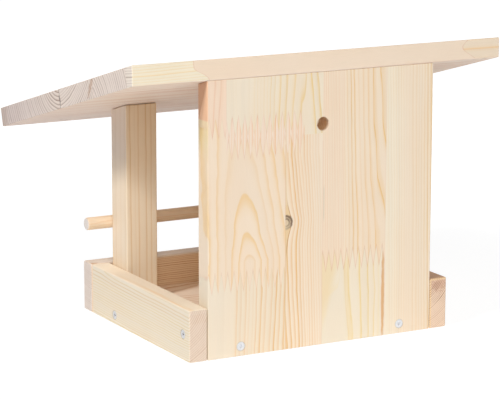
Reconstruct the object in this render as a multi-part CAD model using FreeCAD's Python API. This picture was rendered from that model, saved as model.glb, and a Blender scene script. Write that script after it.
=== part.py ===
import FreeCAD, Part
import math
import os

os.makedirs("parts", exist_ok=True)

# Tray feeder with a back board, two front posts, a sloping roof and a perch rod.
# Millimetres and degrees. The front faces -Y, the back face +Y, and the tray stands on Z = 0.
# The origin is under the middle of the whole feeder. Right is +X, as seen from the front.

# Back board
back_width = 232.0
back_thickness = 18.0
back_height = 250.0             # up to the roof, at the rear face

# Tray
floor_thickness = 18.0
side_rail_length = 203.5        # from the back board's rear face to the front rail
side_rail_thickness = 18.0
front_rail_thickness = 18.0
rail_height = 47.5
rail_gap = 0.5                  # between a side rail and the edges of the boards beside it

# Roof
roof_thickness = 18.0
roof_slope = 15.25              # falls towards the front
roof_side_overhang = 53.5       # past each side of the tray
roof_front_overhang = 65.0      # lower front edge past the front of the tray, measured level

# Front posts
post_width = 32.0
post_depth = 32.0
post_setback = 8.0              # behind the front rail
post_top_gap = 0.4              # under the roof

# Perch rod, across the front faces of the posts
rod_diameter = 12.0
rod_height = 87.5
rod_overhang = 6.0              # past each side of the tray
rod_end_rounding = 1.5

# Hole for hanging the feeder up
hanging_hole_diameter = 12.5
hanging_hole_height = 203.0

# Rounding of the planed edges
board_rounding = 1.0
rail_rounding = 1.5
post_rounding = 1.2

# Countersunk wood screws, and their places
screw = {
    "diameter": 4.0,
    "head": 8.0,
    "length": 35.0,
    "sunk": 0.2,
    "recess_width": 4.4,
    "recess_foot": 2.0,
    "recess_slot": 0.9,
    "recess_depth": 2.0,
}
perch_screw = {
    "diameter": 3.0,
    "head": 6.0,
    "length": 30.0,
    "sunk": 0.9,
    "recess_width": 3.2,
    "recess_foot": 1.4,
    "recess_slot": 0.7,
    "recess_depth": 1.5,
}
head_rim = 0.4                  # straight edge of a screw head, above its cone
screw_point = 1.6               # length of the point, in screw diameters
screw_play = 0.1                # all round, between a screw and the wood
edge_screw_inset = 33.0         # from the side edges of the back board
side_screw_setback = 50.5       # behind the front rail, into the edge of the floor
back_edge_cover = 5.5           # from the back board's front face to the screws in its side edges
cut_past = 1.0                  # how far a cut runs out past the surface that it opens

# Places that follow from the sizes above
slope_sin = math.sin(math.radians(roof_slope))
slope_cos = math.cos(math.radians(roof_slope))
slope_tan = math.tan(math.radians(roof_slope))

roof_nose = roof_thickness * slope_sin - board_rounding * (slope_sin + slope_cos - 1.0)
overall_depth = side_rail_length + front_rail_thickness + roof_front_overhang + roof_nose
rear_y = overall_depth / 2.0
back_front_y = rear_y - back_thickness
rail_front_y = rear_y - side_rail_length
tray_front_y = rail_front_y - front_rail_thickness
post_front_y = rail_front_y + post_setback
post_rear_y = post_front_y + post_depth
post_middle_y = (post_front_y + post_rear_y) / 2.0
rod_y = post_front_y - rod_diameter / 2.0

back_edge_x = back_width / 2.0
rail_inner_x = back_edge_x + rail_gap
rail_outer_x = rail_inner_x + side_rail_thickness
roof_edge_x = rail_outer_x + roof_side_overhang
post_middle_x = back_edge_x - post_width / 2.0
edge_screw_x = back_edge_x - edge_screw_inset


def roof_underside(y):
    """Height of the roof's underside at a level distance y."""
    return back_height - (rear_y - y) * slope_tan


def block(x_low, x_high, y_low, y_high, z_low, z_high):
    """A square-cornered board between six faces."""
    corner = FreeCAD.Vector(x_low, y_low, z_low)
    return Part.makeBox(x_high - x_low, y_high - y_low, z_high - z_low, corner)


def side_profile(outline, x_low, x_high):
    """A board whose outline in Y and Z runs straight across from x_low to x_high."""
    corners = [FreeCAD.Vector(x_low, y, z) for y, z in outline]
    face = Part.Face(Part.makePolygon(corners + corners[:1]))
    return face.extrude(FreeCAD.Vector(x_high - x_low, 0, 0))


def eased(board, rounding):
    """The board with all its edges rounded."""
    return board.makeFillet(rounding, board.Edges)


def turned(outline):
    """A solid of revolution about Z, from its outline of radius and height."""
    corners = [FreeCAD.Vector(radius, 0, height) for radius, height in outline]
    face = Part.Face(Part.makePolygon(corners + corners[:1]))
    return face.revolve(FreeCAD.Vector(0, 0, 0), FreeCAD.Vector(0, 0, 1), 360)


def screw_body(kind, play, cover):
    """The screw's envelope, head up at Z = 0, grown by play and carried up by cover."""
    shank = kind["diameter"] / 2.0 + play
    head = kind["head"] / 2.0 + play
    cone_foot = -head_rim - (kind["head"] - kind["diameter"]) / 2.0
    point_top = -kind["length"] + kind["diameter"] * screw_point
    outline = [
        (0, cover),
        (head, cover),
        (head, -head_rim),
        (shank, cone_foot),
        (shank, point_top),
        (0, -kind["length"] - play),
    ]
    return turned(outline)


def cross_recess(kind):
    """The tapered cross of the driver's recess, open at Z = 0."""
    half_top = kind["recess_width"] / 2.0
    half_foot = kind["recess_foot"] / 2.0
    slot = kind["recess_slot"]
    depth = kind["recess_depth"]
    corners = [
        (-half_top, cut_past),
        (half_top, cut_past),
        (half_top, 0.0),
        (half_foot, -depth),
        (-half_foot, -depth),
        (-half_top, 0.0),
    ]
    points = [FreeCAD.Vector(x, -slot / 2.0, z) for x, z in corners]
    blade = Part.Face(Part.makePolygon(points + points[:1])).extrude(FreeCAD.Vector(0, slot, 0))
    crossing = blade.copy()
    crossing.rotate(FreeCAD.Vector(0, 0, 0), FreeCAD.Vector(0, 0, 1), 90)
    middle = Part.makeCone(slot / 2.0, slot, depth, FreeCAD.Vector(0, 0, -depth))
    return blade.fuse([crossing, middle])


def placed(shape, kind, start, direction):
    """The shape moved so that its head looks back along direction, sunk below start."""
    inward = FreeCAD.Vector(*direction)
    inward.normalize()
    place = FreeCAD.Vector(*start) + inward * kind["sunk"]
    turn = FreeCAD.Rotation(FreeCAD.Vector(0, 0, -1), inward)
    shape.Placement = FreeCAD.Placement(place, turn)
    return shape


def make_screw(kind, start, direction):
    """One screw with its head at the wood's surface at start."""
    body = screw_body(kind, 0.0, 0.0).cut(cross_recess(kind))
    return placed(body, kind, start, direction)


def make_screw_hole(kind, start, direction):
    """The hole that a screw makes in the wood, open at the surface."""
    return placed(screw_body(kind, screw_play, kind["sunk"] + cut_past), kind, start, direction)


# Screws: name of the node, kind, and the start and direction of each one
floor_middle_z = floor_thickness / 2.0
rail_middle_z = rail_height / 2.0
back_edge_screw_y = back_front_y + back_edge_cover
side_screw_y = rail_front_y + side_screw_setback
roof_inward = (0, slope_sin, -slope_cos)
roof_screw_drift = (screw["length"] - roof_thickness) * slope_sin / 2.0


def roof_screw_start(x, y):
    """Point on the roof's top from which a square-driven screw runs into the wood at y."""
    seat_y = y - roof_screw_drift
    seat_z = roof_underside(seat_y)
    return (x, seat_y - roof_thickness * slope_sin, seat_z + roof_thickness * slope_cos)


def both_sides(x, y, z):
    """The same point on the left and on the right."""
    return [(-x, y, z), (x, y, z)]


def side_rail_starts(side):
    """Screw places in the outer face of one side rail; side is -1 on the left and 1 on the right."""
    return [
        (side * rail_outer_x, side_screw_y, floor_middle_z),
        (side * rail_outer_x, back_edge_screw_y, rail_middle_z),
    ]


rail_end_x = (rail_inner_x + rail_outer_x) / 2.0
front_rail_starts = both_sides(rail_end_x, tray_front_y, rail_middle_z)
front_rail_starts += both_sides(edge_screw_x, tray_front_y, floor_middle_z)
back_middle_y = rear_y - back_thickness / 2.0
roof_back_starts = [roof_screw_start(side * edge_screw_x, back_middle_y) for side in (-1, 1)]
roof_post_starts = [roof_screw_start(side * post_middle_x, post_middle_y) for side in (-1, 1)]
perch_starts = both_sides(post_middle_x, rod_y - rod_diameter / 2.0, rod_height)

screw_sets = {
    "left_rail_screws": (screw, side_rail_starts(-1), (1, 0, 0)),
    "right_rail_screws": (screw, side_rail_starts(1), (-1, 0, 0)),
    "back_board_screws": (screw, both_sides(edge_screw_x, rear_y, floor_middle_z), (0, -1, 0)),
    "front_rail_screws": (screw, front_rail_starts, (0, 1, 0)),
    "post_foot_screws": (screw, both_sides(post_middle_x, post_middle_y, 0.0), (0, 0, 1)),
    "roof_back_screws": (screw, roof_back_starts, roof_inward),
    "roof_post_screws": (screw, roof_post_starts, roof_inward),
    "perch_screws": (perch_screw, perch_starts, (0, 1, 0)),
}


def drilled(board, *names):
    """The board with the holes of the named screw sets."""
    holes = []
    for name in names:
        kind, starts, direction = screw_sets[name]
        holes += [make_screw_hole(kind, start, direction) for start in starts]
    return board.cut(holes)


def make_back_board():
    """Upright board; its top is cut to the roof's slope and it has the hanging hole."""
    outline = [
        (back_front_y, 0.0),
        (rear_y, 0.0),
        (rear_y, roof_underside(rear_y)),
        (back_front_y, roof_underside(back_front_y)),
    ]
    board = eased(side_profile(outline, -back_edge_x, back_edge_x), board_rounding)
    hole_start = FreeCAD.Vector(0, back_front_y - cut_past, hanging_hole_height)
    hole_length = back_thickness + 2.0 * cut_past
    hole = Part.makeCylinder(hanging_hole_diameter / 2.0, hole_length, hole_start, FreeCAD.Vector(0, 1, 0))
    board = board.cut(hole)
    return drilled(board, "back_board_screws", "left_rail_screws", "right_rail_screws", "roof_back_screws")


def make_roof_board():
    """Sloping board with a plumb rear edge and a square front edge."""
    lower_front_y = tray_front_y - roof_front_overhang
    lower_front_z = roof_underside(lower_front_y)
    upper_front_y = lower_front_y - roof_thickness * slope_sin
    upper_front_z = lower_front_z + roof_thickness * slope_cos
    outline = [
        (lower_front_y, lower_front_z),
        (rear_y, roof_underside(rear_y)),
        (rear_y, roof_underside(rear_y) + roof_thickness / slope_cos),
        (upper_front_y, upper_front_z),
    ]
    board = eased(side_profile(outline, -roof_edge_x, roof_edge_x), board_rounding)
    return drilled(board, "roof_back_screws", "roof_post_screws")


def make_floor_board():
    """Tray bottom between the rails, in front of the back board."""
    board = block(-back_edge_x, back_edge_x, rail_front_y, back_front_y, 0.0, floor_thickness)
    board = eased(board, board_rounding)
    return drilled(
        board,
        "left_rail_screws",
        "right_rail_screws",
        "back_board_screws",
        "front_rail_screws",
        "post_foot_screws",
    )


def make_side_rail(side):
    """Rail outside the floor and the back board; side is -1 on the left and 1 on the right."""
    x_low, x_high = sorted((side * rail_inner_x, side * rail_outer_x))
    board = eased(block(x_low, x_high, rail_front_y, rear_y, 0.0, rail_height), rail_rounding)
    own_screws = "left_rail_screws" if side < 0 else "right_rail_screws"
    return drilled(board, own_screws, "front_rail_screws")


def make_front_rail():
    """Rail across the whole front of the tray, over the ends of the side rails."""
    board = block(-rail_outer_x, rail_outer_x, tray_front_y, rail_front_y, 0.0, rail_height)
    return drilled(eased(board, rail_rounding), "front_rail_screws")


def make_post(side):
    """Square post on the floor board, with its top cut just under the roof."""
    outline = [
        (post_front_y, floor_thickness),
        (post_rear_y, floor_thickness),
        (post_rear_y, roof_underside(post_rear_y) - post_top_gap),
        (post_front_y, roof_underside(post_front_y) - post_top_gap),
    ]
    x_low, x_high = sorted((side * back_edge_x, side * (back_edge_x - post_width)))
    post = eased(side_profile(outline, x_low, x_high), post_rounding)
    return drilled(post, "post_foot_screws", "roof_post_screws", "perch_screws")


def make_perch_rod():
    """Dowel with rounded ends, against the front faces of the posts."""
    half = rail_outer_x + rod_overhang
    start = FreeCAD.Vector(-half, rod_y, rod_height)
    rod = Part.makeCylinder(rod_diameter / 2.0, 2.0 * half, start, FreeCAD.Vector(1, 0, 0))
    end_rims = [edge for edge in rod.Edges if isinstance(edge.Curve, Part.Circle)]
    return drilled(rod.makeFillet(rod_end_rounding, end_rims), "perch_screws")


nodes = {
    "back_board": make_back_board(),
    "roof_board": make_roof_board(),
    "floor_board": make_floor_board(),
    "left_side_rail": make_side_rail(-1),
    "right_side_rail": make_side_rail(1),
    "front_rail": make_front_rail(),
    "left_post": make_post(-1),
    "right_post": make_post(1),
    "perch_rod": make_perch_rod(),
}
for name, (kind, starts, direction) in screw_sets.items():
    nodes[name] = Part.makeCompound([make_screw(kind, start, direction) for start in starts])

for name, shape in nodes.items():
    shape.exportStep("parts/" + name + ".step")
    box = shape.BoundBox
    print(name, len(shape.Solids), "solids, valid:", shape.isValid())
    print("   x %.2f to %.2f, y %.2f to %.2f" % (box.XMin, box.XMax, box.YMin, box.YMax))
    print("   z %.2f to %.2f, volume %.0f" % (box.ZMin, box.ZMax, shape.Volume))
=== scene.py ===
import bpy
import math
import random
from mathutils import Matrix, Vector


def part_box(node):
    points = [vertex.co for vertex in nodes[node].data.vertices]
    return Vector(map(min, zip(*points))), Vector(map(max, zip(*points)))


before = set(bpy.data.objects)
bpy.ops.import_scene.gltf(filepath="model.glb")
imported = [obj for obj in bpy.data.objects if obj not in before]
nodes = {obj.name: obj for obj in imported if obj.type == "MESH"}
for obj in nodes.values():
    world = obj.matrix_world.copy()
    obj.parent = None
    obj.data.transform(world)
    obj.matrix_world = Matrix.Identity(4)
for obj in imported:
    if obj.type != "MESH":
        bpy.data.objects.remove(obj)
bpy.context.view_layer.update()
print("frame loaded,", len(nodes), "nodes")


def paint(red, green, blue):
    # a colour as read off a screen, 0 to 255, turned into the linear light that the nodes use
    def linear(value):
        value = value / 255.0
        return value / 12.92 if value <= 0.04045 else ((value + 0.055) / 1.055) ** 2.4
    return (linear(red), linear(green), linear(blue), 1.0)


class Field:
    # a number, vector or colour that varies over a surface; plain arithmetic on it lays out Math nodes
    def __init__(self, sheet, socket):
        self.sheet = sheet
        self.socket = socket

    def __rsub__(self, other):
        return self.sheet.math("SUBTRACT", other, self)

    def __abs__(self):
        return self.sheet.math("ABSOLUTE", self)

    def equals(self, number):
        # 1 within a tenth of the number, else 0
        return self.sheet.math("COMPARE", self, float(number), 0.1)

    def step(self, zero, one):
        # 0 up to the first place, 1 from the second on, smooth between; the second may also be the lower
        inputs = {0: self, 1: zero, 2: one}
        return self.sheet.take("ShaderNodeMapRange", inputs, interpolation_type="SMOOTHSTEP")

    def fade(self, one, zero):
        return self.step(zero, one)

    def window(self, places):
        # places in pairs: 0 at the first of each and 1 at the second
        share = self.step(*places[:2])
        for start in range(2, len(places), 2):
            share = self.step(*places[start:start + 2]) * share
        return share

    def around(self, centre, near, far):
        # 1 up to near from the centre, nothing from far on
        return abs(self - centre).fade(near, far)

    def spread(self, low, high):
        # 0 to 1 becomes low to high
        return self.sheet.math("MULTIPLY_ADD", self, high - low, low)

    def lerp(self, a, b):
        # 0 gives a, 1 gives b
        return self.sheet.take("ShaderNodeMix", {0: self, 2: a, 3: b}, data_type="FLOAT")

    def parts(self):
        # the three numbers of a vector
        made = self.sheet.add("ShaderNodeSeparateXYZ", {0: self})
        return [Field(self.sheet, socket) for socket in made.outputs]

    def noise(self, stretch=None, detail=2.0, roughness=0.5, scale=1.0, output="Fac"):
        # smooth noise at this place, which the stretch multiplies first
        place = self.sheet.vector("MULTIPLY", self, stretch) if stretch else self
        return self.sheet.take("ShaderNodeTexNoise", {
            "Vector": place, "Scale": scale, "Detail": detail, "Roughness": roughness}, output)


def twoNumbers(operation):
    # the Math node that works out one operation on two numbers
    return lambda field, other: field.sheet.math(operation, field, other)


for method, operation in {
    "__add__": "ADD", "__sub__": "SUBTRACT", "__mul__": "MULTIPLY", "__truediv__": "DIVIDE",
    "__pow__": "POWER", "__gt__": "GREATER_THAN", "__lt__": "LESS_THAN", "atLeast": "MAXIMUM",
    "atMost": "MINIMUM",
}.items():
    setattr(Field, method, twoNumbers(operation))


class NodeSheet:
    # short calls for laying out one node tree
    def __init__(self, tree):
        self.tree = tree

    def put(self, socket, value):
        # links a field or sets a plain value; a tuple that holds fields is joined to a vector
        if isinstance(value, tuple) and any(isinstance(part, Field) for part in value):
            value = self.join(*value)
        if isinstance(value, Field):
            self.tree.links.new(value.socket, socket)
        else:
            socket.default_value = value

    def add(self, kind, inputs=None, **settings):
        made = self.tree.nodes.new(kind)
        for name, value in settings.items():
            setattr(made, name, value)
        for key, value in (inputs or {}).items():
            self.put(made.inputs[key], value)
        return made

    def take(self, kind, inputs, output=0, **settings):
        return Field(self, self.add(kind, inputs, **settings).outputs[output])

    def named(self, kind, inputs=None, **settings):
        # a node's outputs by their names
        made = self.add(kind, inputs, **settings)
        return {socket.name: Field(self, socket) for socket in made.outputs}

    def group(self, tree, inputs):
        return self.named("ShaderNodeGroup", inputs, node_tree=tree)

    def math(self, operation, *values, clamp=False):
        inputs = dict(enumerate(values))
        return self.take("ShaderNodeMath", inputs, operation=operation, use_clamp=clamp)

    def vector(self, operation, *values, output=0):
        return self.take("ShaderNodeVectorMath", dict(enumerate(values)), output, operation=operation)

    def join(self, x, y, z):
        return self.take("ShaderNodeCombineXYZ", {0: x, 1: y, 2: z})

    def dot(self, a, b):
        return self.vector("DOT_PRODUCT", a, b, output=1)

    def length(self, vector):
        return self.vector("LENGTH", vector, output=1)

    def blend(self, factor, a, b, mode="MIX"):
        return self.take("ShaderNodeMix", {0: factor, 6: a, 7: b}, 2, data_type="RGBA", blend_type=mode)

    def tint(self, colour, other):
        return self.blend(1.0, colour, other, "MULTIPLY")

    def noiseLine(self, value, scale):
        inputs = {"W": value, "Scale": scale, "Detail": 1.0}
        return self.take("ShaderNodeTexNoise", inputs, "Fac", noise_dimensions="1D")

    def shader(self, inputs):
        # the tree's one surface
        made = self.take("ShaderNodeBsdfPrincipled", inputs)
        self.add("ShaderNodeOutputMaterial", {"Surface": made})

    def ramp(self, value, stops, interpolation="LINEAR"):
        made = self.add("ShaderNodeValToRGB", {0: value})
        elements = made.color_ramp.elements
        made.color_ramp.interpolation = interpolation
        while len(elements) < len(stops):
            elements.new(1.0)
        for element, (place, colour) in zip(elements, stops):
            element.position = place
            element.color = colour if isinstance(colour, tuple) else (colour, colour, colour, 1.0)
        return Field(self, made.outputs[0])


def newGroup(name, inputs, build):
    # a named group; build(sheet, given) returns its outputs by name, and the kind of each socket follows
    # from what it holds: a number, a vector of 3 or a colour of 4
    tree = bpy.data.node_groups.new(name, "ShaderNodeTree")
    for title, default in inputs.items():
        kind = {1: "Float", 3: "Vector", 4: "Color"}[len(default) if isinstance(default, tuple) else 1]
        socket = tree.interface.new_socket(name=title, in_out="INPUT", socket_type="NodeSocket" + kind)
        socket.default_value = default
    sheet = NodeSheet(tree)
    made = build(sheet, sheet.named("NodeGroupInput"))
    for title, field in made.items():
        kind = {"VALUE": "Float", "VECTOR": "Vector", "RGBA": "Color"}[field.socket.type]
        tree.interface.new_socket(name=title, in_out="OUTPUT", socket_type="NodeSocket" + kind)
    sheet.add("NodeGroupOutput", made)
    return tree


def newMaterial(name):
    material = bpy.data.materials.new(name)
    material.use_nodes = True
    material.node_tree.nodes.clear()
    return material, NodeSheet(material.node_tree)


# a piece of wood where its table says nothing else; the numbers are also the inputs of its growth rings
plainWood = {
    "pithAcross": -60.0,    # where the pith runs, in millimetres across the grain and into the depth
    "pithDepth": 9.0,
    "lean": 0.0,            # the pith's sideways drift per millimetre of length
    "taper": 0.0,           # square millimetres that a ring gains per millimetre of length
    "apex": 0.0,            # the place along the grain where the taper is nothing
    "ring": 3.0,            # the rings' width at the pith
    "narrow": 0.0,          # how much narrower they get outwards
    "shift": 0.0,           # moves the rings and their noise
    "wobble": 0.6,
    "sharp": 1.0,
    "uneven": 0.9,          # how much the rings' widths differ, in rings
    "fade": 400.0,          # the distance from the pith past which the rings grow faint
    "early": (242, 223, 200), "late": (228, 182, 136),
}
ringNames = [name for name, value in plainWood.items() if isinstance(value, float)]

# growth rings: noises are stretched per millimetre, across the grain and along it
ringLook = {
    "sway": (0.03, 0.011), "swayReach": 6.0,            # reaches are in millimetres, at a wobble of 1
    "ripple": (0.07, 0.045), "rippleReach": 4.0,
    "patch": (0.09, 0.09, 0.02), "patchStrength": (0.6, 1.4),
    "ringStrength": (0.4, 1.15), "yearsPace": 0.16, "yearsStrength": (0.4, 1.5), "unevenPace": 0.37,
    "fadeWidth": 9.0, "fadeTo": 0.22, "fibre": (2.6, 0.045), "rayTurn": 60.0, "rayLength": 0.09,
    # how dark a ring is on the way from its early edge to its late one
    "profile": ((0.0, 0.36), (0.07, 0.04), (0.45, 0.03), (0.7, 0.22), (0.86, 0.76), (0.95, 1.0), (1.0, 0.66)),
}


def label(name):
    # a camelCase name as the name of a socket: pithAcross gives Pith Across
    return "".join(" " + letter if letter.isupper() else letter for letter in name).title()


def layGrowthRings(sheet, given):
    # rings of a trunk cut by the board: distance from a leaning pith line, with the trunk's taper along the
    # grain, counted in ring widths; within each ring pale early wood darkens to a sharp late edge. Where
    # Drawn is 1, a count and a strength that are given take the rings' place
    look = ringLook
    position, shift, wobble, drawn = (given[name] for name in ("Position", "Shift", "Wobble", "Drawn"))
    across, depth, along = position.parts()

    def wander(stretch, **settings):
        aside, lengthwise = stretch
        return sheet.join(across * aside, depth * aside, along * lengthwise + shift).noise(**settings)

    swayAcross, swayDepth, drift = wander(look["sway"], detail=1.5, output="Color").parts()
    reach = wobble * look["swayReach"]
    offset = across - (along * given["Lean"] + given["Pith Across"]) + (swayAcross - 0.5) * reach
    below = depth - given["Pith Depth"] + (swayDepth - 0.5) * reach
    offset = offset + (wander(look["ripple"], roughness=0.45) - 0.5) * (wobble * look["rippleReach"])
    square = offset * offset + below * below + (along - given["Apex"]) * given["Taper"]
    radius = sheet.math("SQRT", square.atLeast(0.01))
    count = (radius * radius * given["Narrow"] * 0.5 + radius) / given["Ring"] + shift
    count = count + (sheet.noiseLine(count, look["unevenPace"]) - 0.5) * given["Uneven"]
    count = drawn.lerp(count, given["Drawn Count"])
    ring = sheet.math("FLOOR", count)
    profile = sheet.ramp((count - ring) ** given["Sharp"], look["profile"])
    tone = sheet.take("ShaderNodeTexWhiteNoise", {"W": ring}, "Value", noise_dimensions="1D")
    years = sheet.noiseLine(count, look["yearsPace"]).spread(*look["yearsStrength"])
    strength = drawn.lerp(tone.spread(*look["ringStrength"]) * years, given["Drawn Strength"])
    strength = strength * position.noise(look["patch"]).spread(*look["patchStrength"])
    faint = radius.step(given["Fade"], given["Fade"] + look["fadeWidth"])
    strength = strength * faint.spread(1.0, look["fadeTo"])
    fine, lengthwise = look["fibre"]
    turn = sheet.math("ARCTAN2", offset, below)
    fibre = sheet.join(offset * fine, depth * fine, along * lengthwise)
    return {
        "Late": sheet.math("MULTIPLY", profile, strength, clamp=True),
        "Tone": tone,
        "Fibre": fibre.noise(detail=3.0, roughness=0.62),
        "Drift": drift,
        "Ray": sheet.join(turn * look["rayTurn"], radius * look["rayLength"], 0.0).noise(roughness=0.6),
    }


# comb joints: how steep the zigzag is against one with sharp tips, and where the glue line fades out
jointLook = {"steepness": 1.12, "line": (0.12, 0.5)}


def layFingerJoint(sheet, given):
    # the glue line of a comb joint: a zigzag across the grain with blunt tips
    half = given["Pitch"] * 0.5
    saw = sheet.math("PINGPONG", given["Across"] - given["Phase"], half) / half
    saw = ((saw - 0.5) * jointLook["steepness"]).atLeast(-0.5).atMost(0.5)
    gap = given["Along"] - (saw * given["Length"] + given["Centre"])
    slant = half / (half + given["Length"])
    return {"Past": gap > 0.0, "Line": (abs(gap) * slant).fade(*jointLook["line"])}


# the knot: its rings from the middle outwards, and how far the parts of its rim reach, in millimetres
knotLook = {
    "rings": ((0.0, 0.2), (0.14, 0.06), (0.3, 0.12), (0.38, 0.85), (0.46, 0.9), (0.53, 0.45), (0.6, 0.6),
              (0.68, 1.0), (0.8, 1.0), (0.87, 0.45), (0.93, 0.0)),
    "ringSpan": 1.25, "rough": 0.4, "roughScale": 0.45, "core": (0.96, 1.1), "halo": (-0.4, 0.3),
    "bias": {"down": 1.6, "slope": 0.05, "middle": 0.78},
    "outline": {"place": -0.15, "width": (0.1, 0.75), "middle": 6.0, "reach": (14.0, 30.0)},
}


def layKnot(sheet, given):
    # a branch through the board: the grain bends round it and closes again in long tails above and below;
    # a point is moved back by the push, which dies out along the grain and, more slowly, across it
    look = knotLook
    across, depth, along = given["Position"].parts()
    x = across - given["Knot Across"]
    y = along - given["Knot Along"]
    share = y / given["Tail"]
    push = given["Push"] / (share * share + 1.0) ** 1.5
    source = x - push * sheet.math("EXPONENT", x * -1.0 / given["Spread"])
    rough = sheet.join(x, depth, y).noise(detail=3.0, scale=look["roughScale"])
    edge = sheet.math("SQRT", x * x + y * y) / given["Radius"] + (rough - 0.5) * look["rough"]
    bias, outline = look["bias"], look["outline"]
    darker = sheet.math("MULTIPLY_ADD", x - y * bias["down"], bias["slope"], bias["middle"], clamp=True)
    return {
        "Position": sheet.join(source.atLeast(0.0) + given["Knot Across"], depth, along),
        "Core": edge.fade(*look["core"]),
        "Rim": sheet.ramp(edge / look["ringSpan"], look["rings"]) * darker,
        "Halo": source.fade(*look["halo"]),
        "Outline": source.around(outline["place"], *outline["width"]) * y.around(
            outline["middle"], *outline["reach"]),
    }


stainLook = {"stretch": (0.5, 0.5, 0.12), "edge": (0.55, 1.1)}


def layStain(sheet, given):
    # a soft-edged egg-shaped patch inside the wood, broken up by its grain
    inside = sheet.vector("SUBTRACT", given["Position"], given["Centre"])
    inside = sheet.vector("DIVIDE", inside, given["Size"])
    rough = given["Position"].noise(stainLook["stretch"], detail=3.0).spread(-1.0, 1.0)
    return {"Mask": (rough * given["Breakup"] + sheet.length(inside)).fade(*stainLook["edge"])}


# planed softwood: how much each mask lightens or darkens it, roughens it and stands up or sinks
toneLook = {
    "drift": (0.3, 0.7), "warm": (1.0, 0.985, 0.965, 1.0), "cool": (1.0, 1.012, 1.02, 1.0),
    "fibre": (0.95, 1.05), "ring": (0.985, 1.012), "speck": (0.88, 1.1), "ray": (0.95, 1.05),
    "roughness": 0.56, "lateRoughness": -0.08, "fibreRoughness": 0.12, "endRoughness": 0.18,
    "lateRelief": 0.5, "fibreRelief": 0.6, "endLateRelief": 0.4, "glueRelief": -0.4,
    "speckSize": 1.7, "endFacing": (0.55, 0.9), "bump": 0.6, "bumpHeight": 0.00012, "specular": 0.3,
}


def layWoodTone(sheet, given):
    # colour, roughness and relief of planed softwood from the masks above
    look = toneLook
    late, fibre, end, glue = (given[name] for name in ("Late", "Fibre", "End", "Glue"))
    side = sheet.blend(late, given["Early Colour"], given["Late Colour"])
    side = sheet.tint(side, sheet.blend(given["Drift"].step(*look["drift"]), look["warm"], look["cool"]))
    ends = sheet.blend(late, given["End Early Colour"], given["End Late Colour"])
    sideLight = fibre.spread(*look["fibre"]) * given["Tone"].spread(*look["ring"])
    endLight = given["Speck"].spread(*look["speck"]) * given["Ray"].spread(*look["ray"])
    light = end.lerp(sideLight, endLight)
    colour = sheet.tint(sheet.blend(end, side, ends), (light, light, light))
    rough = late * look["lateRoughness"] + fibre * look["fibreRoughness"] + look["roughness"]
    sideRelief = late * look["lateRelief"] + fibre * look["fibreRelief"]
    endRelief = late * look["endLateRelief"] + given["Speck"]
    return {
        "Colour": sheet.tint(colour, sheet.blend(glue, (1.0, 1.0, 1.0, 1.0), given["Glue Colour"])),
        "Roughness": sheet.math("MULTIPLY_ADD", end, look["endRoughness"], rough, clamp=True),
        "Height": end.lerp(sideRelief, endRelief) + glue * look["glueRelief"],
    }


growthRings = newGroup("growth rings", dict({
    "Position": (0.0, 0.0, 0.0), "Drawn": 0.0, "Drawn Count": 0.0, "Drawn Strength": 0.5,
}, **{label(name): plainWood[name] for name in ringNames}), layGrowthRings)
fingerJoint = newGroup("finger joint", {
    "Across": 0.0, "Along": 0.0, "Centre": 0.0, "Pitch": 6.28, "Length": 16.5, "Phase": 0.0,
}, layFingerJoint)
knot = newGroup("knot", {
    "Position": (0.0, 0.0, 0.0), "Knot Across": 0.0, "Knot Along": 0.0, "Radius": 6.0, "Push": 8.0,
    "Tail": 12.0, "Spread": 25.0,
}, layKnot)
stain = newGroup("stain", {
    "Position": (0.0, 0.0, 0.0), "Centre": (0.0, 0.0, 0.0), "Size": (5.0, 5.0, 5.0), "Breakup": 0.6,
}, layStain)
woodTone = newGroup("wood tone", {
    "Late": 0.0, "Tone": 0.5, "Fibre": 0.5, "Drift": 0.5, "Ray": 0.5, "End": 0.0, "Glue": 0.0, "Speck": 0.5,
    "Early Colour": (0.8, 0.7, 0.6, 1.0), "Late Colour": (0.7, 0.5, 0.3, 1.0),
    "End Early Colour": (0.8, 0.7, 0.6, 1.0), "End Late Colour": (0.6, 0.5, 0.4, 1.0),
    "Glue Colour": (0.86, 0.68, 0.61, 1.0),
}, layWoodTone)
print("node groups made")


def pieceValues(sheet, index, pieces):
    # looks each value up by the number of the wood piece: a stepped ramp holds three values of every piece
    found = {}
    count = len(pieces)
    place = (index + 0.5) / float(count)
    for start in range(0, len(ringNames), 3):
        packed = ringNames[start:start + 3]
        lows = [min(piece[name] for piece in pieces) for name in packed]
        spans = [max(max(piece[name] for piece in pieces) - low, 1e-6) for name, low in zip(packed, lows)]
        stops = []
        for number, piece in enumerate(pieces):
            shares = [(piece[name] - low) / span for name, low, span in zip(packed, lows, spans)]
            stops.append((number / count, tuple(shares) + (1.0,)))
        looked = sheet.ramp(place, stops, "CONSTANT").parts()
        for name, low, span, share in zip(packed, lows, spans, looked):
            found[name] = share * span + low
    for name in ("early", "late"):
        stops = [(number / count, paint(*piece[name])) for number, piece in enumerate(pieces)]
        found[name] = sheet.ramp(place, stops, "CONSTANT")
    return found


# the drawn growth lines; widths are in millimetres and counts in rings
drawnLook = {
    "wide": 5.0, "lateWidth": 2.2,      # a ring wider than the first keeps its late wood to the second
    "firstCount": 0.35, "bandCount": 0.45, "lastCount": 0.5, "lag": 0.05,
    "apart": 0.001, "last": 0.98,       # lines that would leave the span stay in order at its ends
    "sway": (0.05, 0.035), "swayReach": 1.6, "lead": 1.3,
}


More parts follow.
